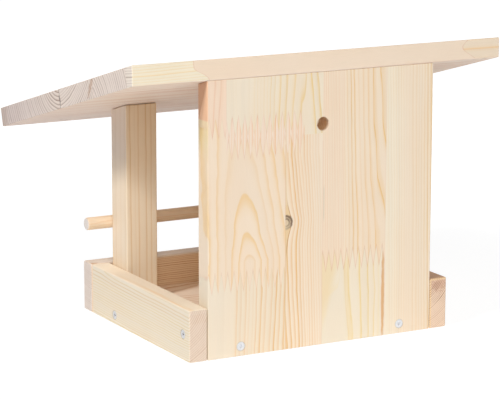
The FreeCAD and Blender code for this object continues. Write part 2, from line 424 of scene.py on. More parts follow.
def makeDrawnLines(name, drawing):
    # growth lines laid where the photograph shows them: each row holds one line's place at each level and,
    # last, how strong it is
    look = drawnLook
    low, high = drawing["span"]
    rows, levels = drawing["rows"], drawing["levels"]
    total = len(rows) + 1.0

    def stop(place, count, strength):
        return (place, (count / total, strength, 0.0, 1.0))

    def levelStops(number):
        stops = [stop(0.0, look["firstCount"], rows[0][-1])]
        before = low
        for order, row in enumerate(rows, 1):
            if row[number] - before > look["wide"]:
                begins = (row[number] - look["lateWidth"] - low) / (high - low)
                stops.append(stop(begins, order - look["bandCount"], row[-1]))
            before = row[number]
            least = look["apart"] * order
            inside = min(max((before - low) / (high - low), least), look["last"] + least)
            stops.append(stop(inside, order, row[-1]))
        return stops + [stop(1.0, total - look["lastCount"], rows[-1][-1])]

    def lay(sheet, given):
        across, along = given["Across"], given["Along"]
        aside, lengthwise = look["sway"]
        sway = sheet.join(across * aside, 0.0, along * lengthwise).noise()
        share = (across - look["lead"] + sway * look["swayReach"] - low) / (high - low)
        found = sheet.ramp(share, levelStops(0))
        for number in range(1, len(levels)):
            past = sheet.take("ShaderNodeMapRange", {0: along, 1: levels[number - 1], 2: levels[number]})
            found = sheet.blend(past, found, sheet.ramp(share, levelStops(number)))
        count, strength = found.parts()[:2]
        return {"Count": count * total - look["lag"], "Strength": strength * drawing["gain"]}

    return newGroup(name, {"Across": 0.0, "Along": 0.0}, lay)


# the heads of the visible screws, in metres: the way each row runs, then each head's place and height
heads = {
    "radius": 0.004, "rim": (0.0001, 0.0008),
    "back": ((1, 0, 0), ((-0.083, 0.009), (0.083, 0.009))),
    "side": ((0, 1, 0), ((-0.0075, 0.009), (0.133, 0.02375))),
    "front": ((1, 0, 0), ((-0.1255, 0.02375), (0.1255, 0.02375), (-0.083, 0.009), (0.083, 0.009))),
}
# the rail screws' dark rims: painted shade of the gap round each head, with crushed wood
railHeads = {"cover": (140, 124, 106), "share": 0.5, "on": "heads"}


def headRims(sheet, place, row):
    # the thin dark line in the wood round the sunk heads of a row of screws: painted shade of the gap round
    # each head, with crushed wood
    run, places = heads[row]
    aside = sheet.dot(place, run)
    rise = sheet.dot(place, (0, 0, 1))
    nearest = 1.0
    for headAside, headRise in places:
        nearest = sheet.length((aside - headAside, rise - headRise, 0.0)).atMost(nearest)
    return nearest.fade(*(heads["radius"] + rim for rim in heads["rim"]))


def finish(node, material):
    # a carried-over node takes one material over its whole surface
    mesh = nodes[node].data
    mesh.materials.clear()
    mesh.materials.append(material)


def finishWood(node, name, board, layOut=None):
    # one board's finish. Its axes run across the grain, into the depth and along the grain, from the corner
    # of its box where all three begin, in millimetres. layOut(sheet, board, position) returns what differs
    # over the board: the number of the wood piece, the bent position, the glue mask, the drawn lines and
    # masks for its patches. A patch covers the wood, tints it or tints its late wood: on the masks that it
    # names, and between places on the three axes
    material, sheet = newMaterial(name)
    low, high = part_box(node)
    axes = [Vector(axis) for axis in board["axes"]]
    corner = [high[i] if sum(axis[i] for axis in axes) < 0.0 else low[i] for i in range(3)]
    corner[2] += board.get("cornerRise", 0.0)
    coordinates = sheet.named("ShaderNodeTexCoord")
    local = sheet.vector("SUBTRACT", coordinates["Object"], tuple(corner))
    local = sheet.vector("MULTIPLY", local, (1000.0, 1000.0, 1000.0))
    position = sheet.join(*(sheet.dot(local, tuple(axis)) for axis in axes))
    end = abs(sheet.dot(coordinates["Normal"], tuple(axes[2]))).step(*toneLook["endFacing"])
    laid = layOut(sheet, board, position) if layOut else {}
    pieces = [dict(plainWood, **piece) for piece in board["pieces"]]
    if "index" in laid:
        values = pieceValues(sheet, laid["index"], pieces)
    else:
        values = dict(pieces[0], early=paint(*pieces[0]["early"]), late=paint(*pieces[0]["late"]))
    rings = dict({label(name): values[name] for name in ringNames}, Position=laid.get("position", position))
    rings = sheet.group(growthRings, dict(rings, **laid.get("drawn", {})))
    pale, dark = board["ends"]
    tone = sheet.group(woodTone, dict(rings, **{
        "End": end, "Glue": laid.get("glue", 0.0),
        "Early Colour": values["early"], "Late Colour": values["late"],
        "End Early Colour": paint(*pale), "End Late Colour": paint(*dark),
        "Speck": position.noise((toneLook["speckSize"],) * 3, detail=3.0, roughness=0.65),
    }))
    masks = dict(laid.get("masks", {}), end=end, side=1.0 - end)
    if "heads" in board:
        masks["heads"] = headRims(sheet, coordinates["Object"], board["heads"])
    places = dict(zip(("across", "depth", "along"), position.parts()))
    colour = tone["Colour"]
    for patch in board.get("patches", ()):
        share = patch.get("share", 1.0)
        for mask in patch.get("on", "").split():
            share = masks[mask] * share
        for axis in places:
            if axis in patch:
                share = places[axis].window(patch[axis]) * share
        if "cover" in patch:
            colour = sheet.blend(share, colour, paint(*patch["cover"]))
        elif "tint" in patch:
            colour = sheet.blend(share, colour, paint(*patch["tint"]), "MULTIPLY")
        else:
            colour = sheet.blend(rings["Late"] * share, colour, paint(*patch["late"]), "MULTIPLY")
    bump = sheet.take("ShaderNodeBump", {
        "Strength": toneLook["bump"], "Distance": toneLook["bumpHeight"], "Height": tone["Height"]})
    sheet.shader({
        "Base Color": colour, "Roughness": tone["Roughness"], "Specular IOR Level": toneLook["specular"],
        "Normal": bump})
    finish(node, material)


# back board: seen from behind, staves side by side with the grain upright; across runs from its left edge
# in that view, along runs down from its top; the numbers follow the grain that shows there
backBoard = {
    "axes": ((-1, 0, 0), (0, -1, 0), (0, 0, -1)),
    "stripEdge": 18.5, "leftGlue": 78.0, "middleGlue": 116.0, "fineEdge": 138.5, "rightGlue": 182.5,
    "joints": {
        "upper": {"Centre": 42.0, "Pitch": 6.25, "Length": 16.0},
        "short": {"Centre": 62.0, "Pitch": 6.25, "Length": 16.0, "Phase": 1.9},
        "lower": {"Centre": 181.0, "Pitch": 6.35, "Length": 16.5, "Phase": 0.7},
        "right": {"Centre": 172.5, "Pitch": 6.28, "Length": 17.0, "Phase": 3.7},
    },
    # the upper joint: its phase on each side of the strip's edge, where its fingers end and where the grain
    # changes unseen beyond them
    "upperPhases": (1.6, 5.5), "upperEnd": 97.0, "hiddenJoint": 55.0,
    # straight glue lines: strength, and where each begins and ends along the grain
    "seams": {"stripEdge": (0.25, -1.0, 42.0), "leftGlue": (0.9, 62.0, 260.0),
              "middleGlue": (0.45, 62.0, 260.0), "rightGlue": (0.4, -1.0, 260.0)},
    "seamWidth": (0.05, 0.4),
    "glue": {"stretch": (0.12, 0.12, 0.05), "breaks": (0.3, 0.66), "kept": 0.8, "strength": (0.06, 0.42),
             "right": 1.45},
    "knot": {"Knot Across": 78.6, "Knot Along": 132.9, "Radius": 6.3, "Push": 8.8, "Tail": 13.0,
             "Spread": 13.0},
    "streak": {"Centre": (180.6, 0.0, 212.0), "Size": (1.9, 16.0, 52.0), "Breakup": 0.45},
    "wedge": {"start": 135.0, "foot": 187.0, "slope": 0.32, "soft": 11.0},
    "band": {"start": 141.2, "drift": 0.09, "width": (0.4, 3.6)},
    # the painted shadow of the roof on the left edge: how fast it reaches down towards the front, and its
    # soft edge
    "corner": {"slope": 2.2, "places": (-1.0, 3.0)},
    "archSlack": -0.08, "archEnd": 164.0,
    "hole": {"across": 116.0, "along": 47.0, "radius": 6.9},
    "ends": ((236, 214, 190), (208, 176, 146)),
    "heads": "back",
    "patches": (
        {"cover": (229, 202, 160), "share": 0.8, "on": "halo knotStave"},
        {"cover": (194, 140, 90), "share": 0.8, "on": "outline knotStave"},
        {"cover": (222, 200, 168), "share": 0.9, "on": "core knotStave"},
        {"cover": (104, 76, 56), "share": 0.86, "on": "rim knotStave"},
        {"tint": (238, 202, 166), "on": "streak"},
        {"tint": (254, 246, 226), "on": "wedge"},
        {"tint": (254, 248, 231), "on": "band"},
        # a thin grey mark beside the middle glue line
        {"cover": (200, 192, 172), "share": 0.55, "across": (116.7, 117.3, 118.1, 117.5),
         "along": (100, 108, 138, 130)},
        {"tint": (254, 249, 247), "across": (188, 208)},
        # painted shade inside the hanging hole, from a little way in
        {"tint": (235, 214, 186), "on": "bore", "depth": (1.5, 5)},
        # the left edge: reddish wood down to the joint, a painted shadow of the roof at the top that reaches
        # further down towards the front corner, and greener wood under it
        {"tint": (247, 224, 206), "across": (0.9, 0.1), "along": (36.5, 34.5)},
        {"tint": (227, 218, 214), "on": "corner", "across": (0.9, 0.1), "along": (36.5, 34.5)},
        {"tint": (248, 251, 234), "across": (0.9, 0.1), "along": (34.5, 36.5, 75, 48)},
        # painted shade of the gap round the screw heads, with crushed wood
        {"cover": (150, 128, 106), "share": 0.35, "on": "heads"},
    ),
    "pieces": [
        # 0 pinkish strip at the top left
        {"pithAcross": -62.0, "shift": 0.1, "sharp": 1.8, "wobble": 0.2,
         "early": (241, 215, 191), "late": (230, 183, 144)},
        # 1 wide top piece with its lines spreading from near the hole
        {"pithAcross": 91.5, "pithDepth": 8.0, "lean": 0.05, "taper": -1.2, "apex": 3.0, "shift": 0.87,
         "wobble": 0.15, "sharp": 0.8, "fade": 48.0, "early": (237, 221, 198), "late": (234, 200, 130)},
        # 2 short pinkish piece between two joints
        {"pithAcross": -42.0, "ring": 2.9, "wobble": 0.3, "sharp": 0.8,
         "early": (241, 220, 200), "late": (237, 192, 146)},
        # 3 arches under the short piece
        {"pithAcross": 24.6, "pithDepth": 3.0, "lean": 0.115, "taper": -4.7, "apex": 164.0, "ring": 5.2,
         "narrow": -0.01, "shift": 0.94, "wobble": 1.3, "sharp": 0.95, "uneven": 0.0,
         "early": (240, 219, 195), "late": (236, 203, 156)},
        # 4 close grain that bends round the knot
        {"pithAcross": 32.0, "pithDepth": 30.0, "taper": -0.9, "shift": 0.2, "wobble": 0.3, "sharp": 0.5,
         "early": (240, 221, 198), "late": (230, 186, 126)},
        # 5 bottom left, smooth at its outer half
        {"pithAcross": 108.0, "pithDepth": 10.0, "taper": -4.6, "apex": 180.0, "shift": 0.6, "wobble": 0.35,
         "fade": 76.0, "sharp": 0.6, "early": (236, 220, 197), "late": (230, 190, 136)},
        # 6 fine pinkish lines right of the hole
        {"pithAcross": 60.0, "pithDepth": 30.0, "ring": 1.55, "wobble": 0.15, "sharp": 0.8,
         "early": (241, 220, 195), "late": (233, 196, 162)},
        # 7 wide grain that runs out at the right glue line
        {"pithAcross": 194.0, "pithDepth": 12.0, "taper": 4.5, "shift": 0.5, "wobble": 0.2, "sharp": 2.2,
         "early": (240, 220, 196), "late": (230, 187, 114)},
        # 8 yellow wide grain under the right joint
        {"pithAcross": 157.6, "pithDepth": 10.0, "lean": -0.1, "taper": -3.3, "apex": 178.0, "wobble": 0.25,
         "sharp": 1.1, "early": (237, 223, 201), "late": (236, 205, 122)},
        # 9 fine straight lines at the right
        {"pithAcross": 300.0, "wobble": 0.12, "sharp": 0.7,
         "early": (241, 226, 203), "late": (226, 187, 116)},
    ],
    # the lines of the pieces whose grain shows best, by the piece's number
    "drawings": {
        0: {"span": (0, 19), "levels": (3, 27, 44), "gain": 1.45, "rows": (
            (7, 5.8, 4.8, 0.5), (12.8, 11, 9.5, 0.35),
        )},
        1: {"span": (18, 117), "levels": (3, 27, 58), "gain": 1.25, "rows": (
            (22, 22.2, 22.5, 0.1), (25, 25.2, 25.3, 0.2), (28, 28.2, 28.3, 0.2), (33, 32.5, 32, 0.12),
            (36, 36, 35.5, 0.12), (41, 41, 40.5, 0.08), (46.5, 46.3, 46, 0.15), (49.3, 49.2, 49, 0.18),
            (52.5, 52.2, 52, 0.12), (56.2, 55.5, 55, 0.25), (59.5, 58.8, 58, 0.2), (63, 62, 61, 0.4),
            (67, 66, 64.5, 0.28), (72.5, 71.5, 70, 0.6), (79.2, 77.5, 75, 0.55), (87, 85, 83, 0.5),
            (98.2, 93.2, 89, 0.45), (103.5, 106, 108.8, 0.7), (109.8, 112, 115, 0.6),
        )},
        4: {"span": (76, 117), "levels": (72, 109, 151, 197, 244), "gain": 1.35, "rows": (
            (70, 72, 73.5, 77, 80.2, 0.7), (75, 77.2, 78.4, 81.4, 84.7, 0.75),
            (80.1, 83.4, 83.9, 85.6, 89, 0.45), (84.2, 87.8, 88.7, 90, 92.8, 0.85),
            (87.3, 91.1, 92.2, 93.9, 96.2, 0.45), (90.6, 94.5, 95, 96.7, 99.2, 0.4),
            (93.1, 97, 97.6, 99.5, 101.3, 0.18), (96.9, 100, 100.5, 102, 103.8, 0.45),
            (99.8, 102.9, 103.5, 105.2, 106.8, 0.42), (102.5, 105.7, 106.6, 107.3, 109.5, 0.33),
            (105.5, 108.4, 108.9, 109.8, 112, 0.2), (108.5, 110.8, 111.9, 112.8, 115, 0.25),
            (111.2, 113.5, 114.1, 115.5, 117.5, 0.15),
        )},
        5: {"span": (0, 79), "levels": (193, 244), "gain": 1.4, "rows": (
            (8.2, 7, 0.12), (15.5, 15, 0.08), (21.2, 20, 0.08), (29, 27.5, 0.5), (33.2, 31.5, 0.2),
            (38.5, 36.8, 0.4), (41.8, 39.2, 0.18), (45.8, 43.8, 0.15), (48.8, 46.8, 0.48),
            (54.2, 51.8, 0.65), (58.5, 56, 0.28), (64.8, 61.8, 0.33), (69.2, 66.2, 0.85),
            (73.5, 70.8, 0.42), (77.5, 76, 0.75),
        )},
        7: {"span": (128, 184), "levels": (4, 51, 101, 151), "gain": 1.7, "rows": (
            (130.2, 131.2, 132.2, 133, 0.12), (133, 134, 134.8, 136, 0.12),
            (136.2, 137.8, 139, 140.2, 0.2), (139.5, 141, 142.5, 143.8, 0.3),
            (143.8, 145.2, 146.2, 148.2, 0.62), (147, 148.5, 150.2, 153, 0.65),
            (151.5, 153.2, 155.5, 158.2, 0.18), (156.5, 158, 160, 164.5, 0.35),
            (161.8, 163.2, 166, 171.8, 0.38), (167.5, 168.8, 172.8, 183, 0.55),
            (175, 178.2, 184.5, 190, 0.5),
        )},
        8: {"span": (112, 184), "levels": (187, 206, 226, 244), "gain": 1.3, "rows": (
            (134, 121, 116, 113, 0.07), (139.6, 140.4, 142.4, 144.6, 0.28), (142.8, 143.8, 146, 148.2, 0.42),
            (154.8, 156, 157, 157.5, 0.58), (163.8, 164.8, 165, 165.2, 0.5), (170.2, 172, 171, 171, 0.45),
            (175.2, 176, 175.8, 175.5, 0.15),
        )},
        9: {"span": (182, 234), "levels": (6, 128, 237), "gain": 1.15, "rows": (
            (183.5, 186.5, 188.5, 0.15), (186.2, 189.5, 191, 0.15), (188.8, 192, 193.5, 0.2),
            (191.5, 194.5, 195.8, 0.2), (194.5, 197.5, 198.5, 0.22), (197.5, 200, 201, 0.2),
            (199.8, 202.8, 204, 0.15), (203, 205, 206.5, 0.08), (206.5, 207.5, 209, 0.1),
            (209.8, 212.2, 213.5, 0.25), (213.8, 215.8, 217.5, 0.28), (216.8, 218, 220.2, 0.2),
            (219.8, 221, 223.2, 0.22), (222.8, 224.2, 226, 0.4), (226.2, 227.8, 230, 0.6),
            (229.5, 231.2, 233.5, 0.5),
        )},
    },
}
panelLines = {
    piece: makeDrawnLines("panel lines %d" % piece, drawing)
    for piece, drawing in backBoard["drawings"].items()
}


def layOutBackBoard(sheet, board, position):
    across, depth, along = position.parts()
    pastStrip = across > board["stripEdge"]
    pastLeft = across > board["leftGlue"]
    pastMiddle = across > board["middleGlue"]
    pastFine = across > board["fineEdge"]
    pastRight = across > board["rightGlue"]
    pastFingers = across > board["upperEnd"]

    def joint(name, **changes):
        return sheet.group(fingerJoint, dict(board["joints"][name], Across=across, Along=along, **changes))

    upper = joint("upper", Phase=pastStrip.lerp(*board["upperPhases"]))
    short, lower, right = joint("short"), joint("lower"), joint("right")
    upperPast = pastFingers.lerp(upper["Past"], along > board["hiddenJoint"])
    beside = pastFingers.atLeast(1.0 - pastStrip)
    left = pastLeft.lerp(lower["Past"].lerp(3.0, 5.0), 4.0)
    left = upperPast.lerp(pastStrip, short["Past"].atLeast(beside).lerp(2.0, left))
    middle = right["Past"].lerp(pastFine.lerp(6.0, 7.0), 8.0)
    index = pastMiddle.lerp(left, pastRight.lerp(middle, 9.0))

    glue = (upper["Line"] * (1.0 - pastFingers)).atLeast(short["Line"] * (1.0 - beside))
    glue = glue.atLeast(lower["Line"] * (1.0 - pastLeft))
    glue = glue.atLeast(right["Line"] * pastMiddle * (1.0 - pastRight))
    look = board["glue"]
    broken = position.noise(look["stretch"]).step(*look["breaks"]).atLeast(pastMiddle * look["kept"])
    glue = glue * broken.spread(*look["strength"]) * pastMiddle.spread(1.0, look["right"])
    for edge, (strength, begins, ends) in board["seams"].items():
        seam = across.around(board[edge], *board["seamWidth"]) * (along > begins) * (along < ends)
        glue = glue.atLeast(seam * strength)

    # the grain bends round the knot in its stave; piece 3's arches lean out to the left and end at the joint
    branch = sheet.group(knot, dict(board["knot"], Position=position))
    knotStave = pastLeft * (1.0 - pastMiddle)
    bent = {0: knotStave, 4: position, 5: branch["Position"]}
    bent = sheet.take("ShaderNodeMix", bent, 1, data_type="VECTOR")
    arch, isArch = board["pieces"][3], index.equals(3)
    aside = across - (along * arch["lean"] + arch["pithAcross"])
    aside = aside.atMost(0.0) * isArch * board["archSlack"]
    beyond = (board["archEnd"] - along).atMost(0.0) * isArch
    bent = sheet.vector("ADD", bent, (aside, 0.0, beyond))
    bentAcross = bent.parts()[0]
    drawn, count, strength = 0.0, 0.0, 0.0
    for piece, lineGroup in panelLines.items():
        chosen = index.equals(piece)
        lines = sheet.group(lineGroup, {"Across": bentAcross, "Along": along})
        drawn = chosen + drawn
        count = lines["Count"] * chosen + count
        strength = lines["Strength"] * chosen + strength

    # under the right joint: a dark streak at the glue line, a yellow wedge and a yellow band
    streak = sheet.group(stain, dict(board["streak"], Position=position))["Mask"]
    isYellow = index.equals(8)
    wedge, band, corner, hole = board["wedge"], board["band"], board["corner"], board["hole"]
    fromFoot = along - wedge["foot"]
    slanting = fromFoot * wedge["slope"] + across
    masks = {
        "halo": branch["Halo"], "outline": branch["Outline"], "core": branch["Core"], "rim": branch["Rim"],
        "knotStave": knotStave,
        "streak": streak * sheet.math("SUBTRACT", right["Past"], pastRight, clamp=True),
        "wedge": slanting.fade(wedge["start"] - wedge["soft"], wedge["start"]) * isYellow,
        "band": (across - fromFoot * band["drift"]).around(band["start"], *band["width"]) * isYellow,
        # where shade is painted inside the hanging hole
        "bore": sheet.length((across - hole["across"], along - hole["along"], 0.0)) < hole["radius"],
        # painted shadow of the roof on the left edge
        "corner": (depth * corner["slope"] - along).step(*corner["places"]),
    }
    return {"index": index, "position": bent, "glue": glue, "masks": masks,
            "drawn": {"Drawn": drawn, "Drawn Count": count, "Drawn Strength": strength}}


finishWood("back_board", "panel pine", backBoard, layOutBackBoard)
print("back board finished")


# roof board: across runs down the slope from the rear top edge, depth from its top face, along from its
# left end in the view from behind
roofSlope = math.radians(15.25)
roofBoard = {
    "axes": ((0.0, -math.cos(roofSlope), -math.sin(roofSlope)),
             (0.0, math.sin(roofSlope), -math.cos(roofSlope)), (-1, 0, 0)),
    "cornerRise": 0.0003,       # metres
    "glueLines": (15.5, 84.5, 159.0, 227.5, 287.5), "seamWidth": (0.05, 0.35), "seamStrength": 0.5,
    # comb joints: stave, place along it and the comb's phase
    "joints": ((1, 143.0, 2.0), (1, 318.0, 11.0), (2, 232.0, 6.0), (3, 178.0, 3.0), (4, 121.0, 9.0),
               (4, 291.0, 4.0), (5, 262.0, 8.0)),
    "jointShape": {"Pitch": 6.28, "Length": 16.5}, "jointStrength": 0.38,
    # the rear stave's joints show as curves on its plumb edge: start, then share of the curve's size down
    # against share along
    "curves": (
        (58.0, ((0.0, 0.01), (0.34, 0.05), (0.45, 0.16), (0.58, 0.47), (0.75, 0.75), (0.95, 0.85))),
        (334.0, ((0.0, 0.42), (0.2, 0.1), (0.4, 0.03), (0.62, 0.34), (0.87, 0.84))),
    ),
    "curveSize": 20.0, "curveWidth": (0.1, 0.7), "curveStrength": 0.6,
    # the glue line that stands open at the ends: it wanders, and is widest at half depth
    "open": {"place": 159.0, "width": 0.55, "belly": 1.1, "middle": 9.5, "bellyReach": (1.0, 5.0),
             "edge": (0.35, 1.2), "stretch": (0.22, 0.0, 0.05), "wander": 3.2},
    # a dark smudge in the end grain, leaning and ragged, and the long streaks of the underside
    "smudge": {"Centre": (83.6, 7.0, 0.0), "Size": (3.6, 11.0, 8.0), "Breakup": 0.8},
    "smudgeLean": -0.85, "smudgeJitter": 7.0, "jitterStretch": (0.5, 0.5, 0.2),
    "streakStretch": (0.16, 0.0, 0.004), "streaks": (0.46, 0.66),
    "ends": ((250, 237, 223), (190, 168, 152)),
    "patches": (
        {"late": (230, 220, 214), "on": "end", "across": (157, 160, 200, 168)},
        {"cover": (128, 112, 100), "share": 0.8, "on": "end crack"},
        {"tint": (234, 221, 211), "on": "end smudge"},
        {"late": (214, 190, 170), "on": "end smudge"},
        # painted shade: the end grain a little greyer below its top rear edge, greyer still towards its low
        # front edge and darker along that edge
        {"tint": (247, 244, 246), "on": "end", "across": (8, 22)},
        {"tint": (238, 236, 240), "on": "end", "across": (150, 300)},
        {"tint": (240, 236, 232), "on": "end", "across": (285, 290)},
        # the underside: painted paler and pinker, as painted light, and greyer towards its low front edge, as
        # painted shade; then its long streaks
        {"cover": (246, 228, 214), "share": 0.6, "on": "side", "depth": (16.8, 17.7)},
        {"tint": (240, 240, 245), "on": "side", "depth": (16.8, 17.7), "across": (90, 290)},
        {"tint": (243, 229, 220), "on": "side streaks", "depth": (16.8, 17.7)},
    ),
    # each stave's pith as its end grain shows it at the left end: across, depth, ring width
    "piths": ((0.0, -80.0, 2.7), (112.0, 30.0, 3.9), (170.0, -80.0, 2.7), (158.0, -19.0, 3.8),
              (150.0, -25.0, 4.5), (200.0, 9.0, 4.2)),
    # what differs from length to length by chance, and more in the later lengths of a stave
    "grain": {"wobble": 0.5, "sharp": 0.8, "uneven": 0.5},
    "chance": {"taper": (-2.5, 2.5), "lean": (-0.03, 0.03), "shift": (0.0, 5.0)},
    "laterAcross": (-45.0, 45.0), "laterChance": {"pithDepth": (-30.0, 45.0), "ring": (2.2, 4.6)},
    # the early and late colour of each length, stave by stave
    "tints": (
        ((242, 229, 205), (238, 212, 164)), ((241, 219, 195), (236, 211, 186)),
        ((237, 219, 196), (237, 201, 152)), ((242, 222, 199), (228, 184, 142)),
        ((242, 223, 199), (234, 196, 150)), ((239, 217, 193), (226, 184, 146)),
        ((242, 223, 200), (228, 184, 140)), ((241, 224, 201), (235, 198, 150)),
        ((242, 222, 198), (230, 188, 146)), ((240, 219, 195), (227, 184, 146)),
        ((239, 219, 196), (229, 188, 148)), ((242, 223, 199), (236, 200, 156)),
        ((241, 221, 198), (230, 190, 150)), ((237, 218, 196), (222, 180, 142)),
        ((242, 224, 200), (231, 192, 150)),
    ),
    # the rear stave's lengths show on the plumb edge, so their rings are given one by one
    "rear": (
        {"taper": 0.0, "lean": 0.0, "wobble": 0.9},
        {"taper": 0.0, "wobble": 0.8, "pithAcross": 140.0, "pithDepth": 9.0, "ring": 9.0},
        {"taper": 0.0, "wobble": 0.3, "pithAcross": 0.0, "pithDepth": -60.0, "ring": 10.0, "shift": 0.0,
         "sharp": 1.8, "uneven": 0.0},
    ),
}


def roofLengths(stave):
    # how many lengths of wood a stave is made of
    curves = len(roofBoard["curves"]) if stave == 0 else 0
    return 1 + curves + sum(1 for joint in roofBoard["joints"] if joint[0] == stave)


def roofPieces():
    # one table entry for each length of each stave; the first of a stave follows the photographed end grain
    chance = random.Random(11)
    board = roofBoard
    pieces = []

    def drawn(limits):
        return {name: chance.uniform(*pair) for name, pair in limits.items()}

    for stave, (pithAcross, pithDepth, ring) in enumerate(board["piths"]):
        for number in range(roofLengths(stave)):
            early, late = board["tints"][len(pieces)]
            piece = dict(board["grain"], pithAcross=pithAcross, pithDepth=pithDepth, ring=ring)
            piece.update(early=early, late=late)
            piece.update(drawn(board["chance"]))
            if number:
                piece["pithAcross"] += chance.uniform(*board["laterAcross"])
                piece.update(drawn(board["laterChance"]))
            pieces.append(piece)
    for piece, changes in zip(pieces, board["rear"]):
        piece.update(changes)
    return pieces


def layOutRoof(sheet, board, position):
    across, depth, along = position.parts()
    past = [1.0] + [across > place for place in board["glueLines"]] + [0.0]
    inStave = [sheet.math("SUBTRACT", *bounds) for bounds in zip(past, past[1:])]
    counts = [0.0] * len(inStave)
    glue = 0.0
    size = board["curveSize"]
    for start, curve in board["curves"]:
        gap = along - (sheet.ramp(depth / size, curve, "B_SPLINE") * size + start)
        counts[0] = (gap > 0.0) + counts[0]
        line = abs(gap).fade(*board["curveWidth"]) * inStave[0]
        glue = (line * board["curveStrength"]).atLeast(glue)
    for stave, centre, phase in board["joints"]:
        shape = dict(board["jointShape"], Across=across, Along=along, Centre=centre, Phase=phase)
        made = sheet.group(fingerJoint, shape)
        counts[stave] = made["Past"] + counts[stave]
        glue = (made["Line"] * inStave[stave] * board["jointStrength"]).atLeast(glue)
    index, first = 0.0, 0
    for stave, within in enumerate(inStave):
        index = (counts[stave] + float(first)) * within + index
        first += roofLengths(stave)
    for place in board["glueLines"]:
        glue = (across.around(place, *board["seamWidth"]) * board["seamStrength"]).atLeast(glue)

    crack = board["open"]
    wander = sheet.join(depth, 0.0, along).noise(crack["stretch"]) - 0.5
    centre = wander * crack["wander"] + crack["place"]
    width = depth.around(crack["middle"], *crack["bellyReach"]) * crack["belly"] + crack["width"]
    jitter = position.noise(board["jitterStretch"], detail=3.0, roughness=0.6) - 0.5
    leaned = depth * board["smudgeLean"] + across + jitter * board["smudgeJitter"]
    return {"index": index, "glue": glue, "masks": {
        "crack": (abs(across - centre) / width).fade(*crack["edge"]),
        "smudge": sheet.group(stain, dict(board["smudge"], Position=(leaned, depth, along)))["Mask"],
        "streaks": position.noise(board["streakStretch"]).step(*board["streaks"]),
    }}


finishWood("roof_board", "roof pine", dict(roofBoard, pieces=roofPieces()), layOutRoof)
print("roof board finished")


# tray: rails and floor of one plain length each; across runs down a rail from its top, depth in from its
# outer face
nearRail = {
    "axes": ((0, 0, -1), (-1, 0, 0), (0, -1, 0)), "ends": ((231, 210, 190), (202, 166, 138)),
    "heads": "side",
    "pieces": [{"pithAcross": -18.5, "pithDepth": -33.5, "ring": 1.95, "taper": 1.0, "wobble": 0.3,
                "sharp": 1.2, "uneven": 0.5, "shift": 0.4,
                "early": (240, 226, 206), "late": (224, 199, 138)}],
    # the uppermost lines sweep upwards towards the front
    "sweep": {"start": 138.0, "curve": 0.002, "most": 3.2, "fall": -0.16},
    "redLines": (3.6, 4.6, 13, 11.5), "hairStretch": (0.0, 0.7, 0.02), "hairs": (0.35, 0.65),
    "patches": (
        {"late": (240, 218, 192), "share": 0.8, "on": "redLines"},
        # painted light: the top face paler
        {"cover": (254, 238, 214), "share": 0.8, "on": "side", "across": (1.2, 0.5)},
        # an orange band along the outer edge of the top
        {"tint": (252, 239, 220), "on": "side hairs", "across": (1.2, 0.5), "depth": (0.2, 1.2, 7, 3.5),
         "along": (175, 120)},
        {"cover": (246, 220, 191), "along": (199.5, 201.5)},
        railHeads,
    ),
}
farRail = {
    "axes": ((0, 0, -1), (-1, 0, 0), (0, -1, 0)), "ends": ((240, 213, 187), (206, 164, 134)),
    "heads": "side",
    "pieces": [{"pithAcross": -22.0, "pithDepth": -30.0, "ring": 1.7, "taper": -1.2, "wobble": 0.3,
                "sharp": 0.8, "uneven": 0.5, "shift": 3.4,
                "early": (243, 222, 190), "late": (226, 176, 124)}],
    "smudge": {"Centre": (6.0, 9.5, 0.0), "Size": (7.5, 11.0, 8.0), "Breakup": 1.2},
    "inside": {"across": (1.2, 2.6), "depth": (0.8, 2)},
    "patches": (
        {"tint": (226, 206, 200), "share": 0.75, "on": "smudge inside"},
        {"late": (186, 158, 142), "on": "end", "across": (1.5, 5, 27, 18)},
        {"tint": (255, 250, 226), "on": "end rim"},
        railHeads,
        # painted shade of the back board on the top face
        {"tint": (221, 201, 192), "on": "side", "across": (1.2, 0.5)},
    ),
}
# its inner face is painted browner than the rest, with darker late wood: painted shade of the inside of the
# tray
frontRail = {
    "axes": ((0, 0, -1), (0, 1, 0), (-1, 0, 0)), "ends": ((233, 219, 208), (205, 183, 168)),
    "heads": "front",
    "pieces": [{"pithAcross": -70.0, "pithDepth": 24.0, "ring": 1.85, "taper": 0.5, "wobble": 0.5,
                "sharp": 0.8, "uneven": 0.8, "early": (250, 234, 216), "late": (216, 174, 136)}],
    "patches": (
        {"tint": (255, 243, 222), "on": "side", "depth": (17.2, 17.8), "across": (0.8, 3)},
        {"late": (228, 200, 178), "on": "side", "depth": (17.2, 17.8), "across": (0.8, 3)},
        # painted shade: the top face greyer
        {"tint": (243, 243, 246), "on": "side", "across": (1, 0.5)},
        railHeads,
    ),
}
floorBoard = {
    "axes": ((0, 1, 0), (0, 0, -1), (-1, 0, 0)), "ends": ((234, 214, 192), (208, 176, 148)),
    "pieces": [{"pithAcross": 35.0, "pithDepth": 38.0, "ring": 3.4, "taper": -5.0, "apex": 120.0,
                "wobble": 1.6, "early": (251, 229, 206), "late": (207, 156, 98)}],
}


def layOutNearRail(sheet, board, position):
    across, depth, along = position.parts()
    sweep = board["sweep"]
    past = (along - sweep["start"]).atLeast(0.0)
    lift = (past * past * sweep["curve"]).atMost(sweep["most"])
    swept = lift * sheet.math("EXPONENT", across * sweep["fall"]) + across
    return {"position": (swept, depth, along), "masks": {
        "redLines": swept.window(board["redLines"]),
        "hairs": position.noise(board["hairStretch"]).step(*board["hairs"]),
    }}


def layOutFarRail(sheet, board, position):
    across, depth, along = position.parts()
    inside = across.window(board["inside"]["across"]) * depth.window(board["inside"]["depth"])
    smudge = sheet.group(stain, dict(board["smudge"], Position=position))["Mask"]
    return {"masks": {"smudge": smudge, "inside": inside, "rim": 1.0 - inside}}


